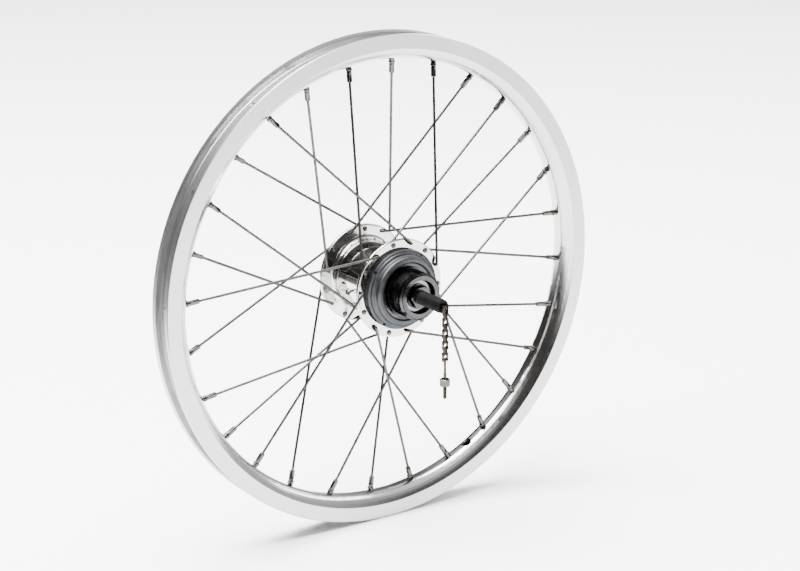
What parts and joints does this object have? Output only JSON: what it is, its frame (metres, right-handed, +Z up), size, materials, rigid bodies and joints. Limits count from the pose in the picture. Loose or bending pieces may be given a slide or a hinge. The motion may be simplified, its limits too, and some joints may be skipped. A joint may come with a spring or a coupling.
{
  "type": "bicycle hub gear wheel",
  "caption": "Small spoked bicycle wheel built on an epicyclic hub gear, with splined driver, hollow axle and a hanging indicator chain.",
  "frame": {"origin": "centre of the wheel, midway between the rim's walls on the axle's line", "axes": "+Y along the axle towards the left end, -Y the drive side, +Z up, +X the way the wheel rolls"},
  "size_m": [0.3679, 0.1559, 0.368],
  "materials": {
    "rim_aluminium": "satin with machined brake tracks",
    "polished_aluminium": "mirror polished",
    "spoke_steel": "drawn stainless",
    "nickel": "nickel plated",
    "grey_steel": "turned, dull zinc",
    "driver_steel": "hardened, dark, oiled",
    "plated_steel": "bright zinc",
    "black_steel": "black oxide",
    "gear_steel": "ground",
    "bearing_steel": "ground and hardened",
    "ball_steel": "polished",
    "spring_steel": "drawn wire",
    "chain_steel": "nickel plated, worn"
  },
  "bodies": {
    "axle_assembly": {"axle": "black_steel", "sun_gear": "gear_steel", "right_cone": "bearing_steel", "right_lock_washer": "plated_steel", "right_locknut": "plated_steel", "left_cone": "bearing_steel", "left_lock_washer": "plated_steel", "left_locknut": "plated_steel", "left_spacer": "plated_steel", "spring_cap": "plated_steel", "clutch_spring": "spring_steel"},
    "wheel": {"rim": "rim_aluminium", "drive_outer_spokes": "spoke_steel", "drive_inner_spokes": "spoke_steel", "left_outer_spokes": "spoke_steel", "left_inner_spokes": "spoke_steel", "drive_nipples": "nickel", "left_nipples": "nickel", "hub_shell": "polished_aluminium", "ball_ring": "grey_steel", "left_ball_cup": "grey_steel", "left_dust_cap": "plated_steel"},
    "driver": {"driver": "driver_steel", "driver_dust_cap": "plated_steel"},
    "clutch": {"clutch": "gear_steel"},
    "indicator": {"axle_key": "bearing_steel", "thrust_ring": "bearing_steel", "indicator_rod": "plated_steel"},
    "planet_cage": {"planet_cage": "gear_steel", "pinion_pins": "bearing_steel", "low_pawl_pins": "bearing_steel"},
    "gear_ring": {"gear_ring": "gear_steel", "ring_pawl_pins": "bearing_steel"},
    "right_cone_bearing": {"right_cone_balls": "ball_steel", "right_cone_retainer": "plated_steel"},
    "driver_bearing": {"driver_balls": "ball_steel", "driver_retainer": "plated_steel"},
    "left_cone_bearing": {"left_cone_balls": "ball_steel", "left_cone_retainer": "plated_steel"},
    "planet_1": {"planet_gear_1": "gear_steel"},
    "planet_2": {"planet_gear_2": "gear_steel"},
    "planet_3": {"planet_gear_3": "gear_steel"},
    "planet_4": {"planet_gear_4": "gear_steel"},
    "ring_pawl_1": {"ring_pawl_1": "bearing_steel"},
    "ring_pawl_2": {"ring_pawl_2": "bearing_steel"},
    "low_gear_pawl_1": {"low_gear_pawl_1": "bearing_steel"},
    "low_gear_pawl_2": {"low_gear_pawl_2": "bearing_steel"},
    "chain_1": {"chain_link_1": "chain_steel"},
    "chain_2": {"chain_link_2": "chain_steel"},
    "chain_3": {"chain_link_3": "chain_steel"},
    "chain_4": {"chain_link_4": "chain_steel"},
    "chain_5": {"chain_link_5": "chain_steel"},
    "chain_6": {"chain_link_6": "chain_steel"},
    "chain_7": {"chain_link_7": "chain_steel"},
    "chain_8": {"chain_link_8": "chain_steel"},
    "chain_9": {"chain_link_9": "chain_steel"},
    "chain_end": {"chain_end_rod": "chain_steel", "chain_locknut": "nickel"}
  },
  "joints": [
    {"name": "wheel_spin", "type": "hinge", "parent": "axle_assembly", "child": "wheel", "pos_m": [0, 0, 0], "axis": [0, 1, 0], "continuous": true},
    {"name": "driver_spin", "type": "hinge", "parent": "axle_assembly", "child": "driver", "pos_m": [0, 0, 0], "axis": [0, 1, 0], "continuous": true},
    {"name": "cage_spin", "type": "hinge", "parent": "axle_assembly", "child": "planet_cage", "pos_m": [0, 0, 0], "axis": [0, 1, 0], "continuous": true},
    {"name": "ring_spin", "type": "hinge", "parent": "axle_assembly", "child": "gear_ring", "pos_m": [0, 0, 0], "axis": [0, 1, 0], "continuous": true},
    {"name": "planet_spin_1", "type": "hinge", "parent": "planet_cage", "child": "planet_1", "pos_m": [0.00933, 0.0023, 0.00933], "axis": [0, 1, 0], "continuous": true},
    {"name": "planet_spin_2", "type": "hinge", "parent": "planet_cage", "child": "planet_2", "pos_m": [0.00933, 0.0023, -0.00933], "axis": [0, 1, 0], "continuous": true},
    {"name": "planet_spin_3", "type": "hinge", "parent": "planet_cage", "child": "planet_3", "pos_m": [-0.00933, 0.0023, -0.00933], "axis": [0, 1, 0], "continuous": true},
    {"name": "planet_spin_4", "type": "hinge", "parent": "planet_cage", "child": "planet_4", "pos_m": [-0.00933, 0.0023, 0.00933], "axis": [0, 1, 0], "continuous": true},
    {"name": "right_cone_bearing_spin", "type": "hinge", "parent": "axle_assembly", "child": "right_cone_bearing", "pos_m": [0, -0.0395, 0], "axis": [0, 1, 0], "continuous": true},
    {"name": "left_cone_bearing_spin", "type": "hinge", "parent": "axle_assembly", "child": "left_cone_bearing", "pos_m": [0, 0.0275, 0], "axis": [0, 1, 0], "continuous": true},
    {"name": "driver_bearing_spin", "type": "hinge", "parent": "axle_assembly", "child": "driver_bearing", "pos_m": [0, -0.031, 0], "axis": [0, 1, 0], "continuous": true},
    {"name": "indicator_slide", "type": "slide", "parent": "axle_assembly", "child": "indicator", "axis": [0, -1, 0], "range_m": [0, 0.007], "deforming": ["clutch_spring"]},
    {"name": "clutch_slide", "type": "slide", "parent": "driver", "child": "clutch", "axis": [0, -1, 0], "range_m": [0, 0.007]},
    {"name": "ring_pawl_1_fold", "type": "hinge", "parent": "gear_ring", "child": "ring_pawl_1", "pos_m": [0.00333, -0.017, 0.01891], "axis": [0, 1, 0], "range_deg": [0, 16]},
    {"name": "ring_pawl_2_fold", "type": "hinge", "parent": "gear_ring", "child": "ring_pawl_2", "pos_m": [-0.00333, -0.017, -0.01891], "axis": [0, 1, 0], "range_deg": [0, 16]},
    {"name": "low_gear_pawl_1_fold", "type": "hinge", "parent": "planet_cage", "child": "low_gear_pawl_1", "pos_m": [0.01377, 0.0162, 0.00795], "axis": [0, 1, 0], "range_deg": [0, 6], "stiffness_Nm_per_rad": 0.002, "springref_deg": -2.86},
    {"name": "low_gear_pawl_2_fold", "type": "hinge", "parent": "planet_cage", "child": "low_gear_pawl_2", "pos_m": [-0.01377, 0.0162, -0.00795], "axis": [0, 1, 0], "range_deg": [0, 6], "stiffness_Nm_per_rad": 0.002, "springref_deg": -2.86},
    {"name": "chain_hinge_1", "type": "hinge", "parent": "indicator", "child": "chain_1", "pos_m": [0, -0.0822, 0], "axis": [1, 0, 0], "range_deg": [-90, 8]},
    {"name": "chain_hinge_2", "type": "hinge", "parent": "chain_1", "child": "chain_2", "pos_m": [0, -0.0822, -0.0043], "axis": [1, 0, 0], "range_deg": [-12, 6]},
    {"name": "chain_hinge_3", "type": "hinge", "parent": "chain_2", "child": "chain_3", "pos_m": [0, -0.0822, -0.0086], "axis": [1, 0, 0], "range_deg": [-12, 6]},
    {"name": "chain_hinge_4", "type": "hinge", "parent": "chain_3", "child": "chain_4", "pos_m": [0, -0.0822, -0.0129], "axis": [1, 0, 0], "range_deg": [-12, 6]},
    {"name": "chain_hinge_5", "type": "hinge", "parent": "chain_4", "child": "chain_5", "pos_m": [0, -0.0822, -0.0172], "axis": [1, 0, 0], "range_deg": [-12, 6]},
    {"name": "chain_hinge_6", "type": "hinge", "parent": "chain_5", "child": "chain_6", "pos_m": [0, -0.0822, -0.0215], "axis": [1, 0, 0], "range_deg": [-12, 6]},
    {"name": "chain_hinge_7", "type": "hinge", "parent": "chain_6", "child": "chain_7", "pos_m": [0, -0.0822, -0.0258], "axis": [1, 0, 0], "range_deg": [-12, 6]},
    {"name": "chain_hinge_8", "type": "hinge", "parent": "chain_7", "child": "chain_8", "pos_m": [0, -0.0822, -0.0301], "axis": [1, 0, 0], "range_deg": [-12, 6]},
    {"name": "chain_hinge_9", "type": "hinge", "parent": "chain_8", "child": "chain_9", "pos_m": [0, -0.0822, -0.0344], "axis": [1, 0, 0], "range_deg": [-12, 6]},
    {"name": "chain_end_hinge", "type": "hinge", "parent": "chain_9", "child": "chain_end", "pos_m": [0, -0.0822, -0.0387], "axis": [1, 0, 0], "range_deg": [-12, 6]}
  ],
  "couplings": [
    {"joint": "driver_spin", "follows": "wheel_spin", "ratio": 0.75},
    {"joint": "cage_spin", "follows": "wheel_spin", "ratio": 0.75},
    {"joint": "ring_spin", "follows": "wheel_spin", "ratio": 1},
    {"joint": "planet_spin_1", "follows": "wheel_spin", "ratio": 0.75},
    {"joint": "planet_spin_2", "follows": "wheel_spin", "ratio": 0.75},
    {"joint": "planet_spin_3", "follows": "wheel_spin", "ratio": 0.75},
    {"joint": "planet_spin_4", "follows": "wheel_spin", "ratio": 0.75},
    {"joint": "right_cone_bearing_spin", "follows": "wheel_spin", "ratio": 0.4592},
    {"joint": "left_cone_bearing_spin", "follows": "wheel_spin", "ratio": 0.6123},
    {"joint": "driver_bearing_spin", "follows": "wheel_spin", "ratio": 0.8897},
    {"joint": "clutch_slide", "follows": "indicator_slide", "ratio": 1},
    {"joint": "ring_pawl_1_fold", "follows": "indicator_slide", "rad_per_m": 39.853},
    {"joint": "ring_pawl_2_fold", "follows": "indicator_slide", "rad_per_m": 39.853}
  ]
}
